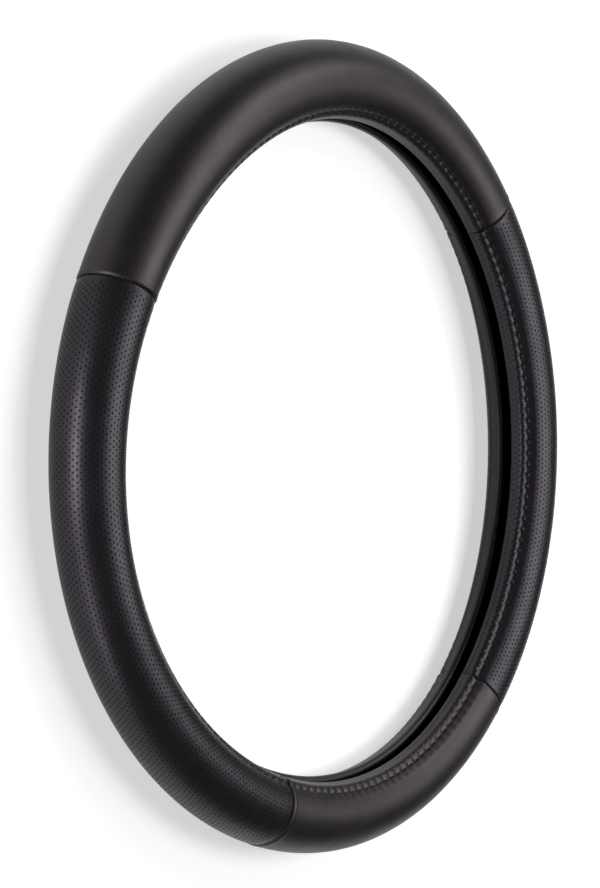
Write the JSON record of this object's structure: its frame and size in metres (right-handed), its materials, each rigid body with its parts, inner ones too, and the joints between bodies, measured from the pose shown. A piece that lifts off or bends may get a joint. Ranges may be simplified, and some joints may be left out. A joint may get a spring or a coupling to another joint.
{
  "type": "steering wheel cover",
  "caption": "Slip-on steering wheel cover: a padded ring of smooth and perforated black leather panels over a rubber lining, open along its inner side to take the wheel's rim.",
  "frame": {"origin": "middle of the footprint, on the surface that the cover lies on", "axes": "+Z along the ring's axis, from the rear face that it lies on to the front face; +Y towards the top of the wheel, the middle of the upper smooth panel"},
  "size_m": [0.3857, 0.3841, 0.0393],
  "materials": {
    "smooth_leather": "satin black coated leather with a fine grain",
    "perforated_leather": "matt black coated leather with rows of fine punched dimples",
    "lining_rubber": "matt black moulded rubber",
    "sewing_thread": "black polyester sewing thread"
  },
  "bodies": {
    "root": {"top_rubber": "lining_rubber", "left_rubber": "lining_rubber", "bottom_rubber": "lining_rubber", "right_rubber": "lining_rubber", "top_panel": "smooth_leather", "bottom_panel": "smooth_leather", "left_panel": "perforated_leather", "right_panel": "perforated_leather", "front_hem_thread": "sewing_thread", "rear_hem_thread": "sewing_thread", "upper_right_seam_thread": "sewing_thread", "upper_left_seam_thread": "sewing_thread", "lower_left_seam_thread": "sewing_thread", "lower_right_seam_thread": "sewing_thread"}
  },
  "joints": []
}
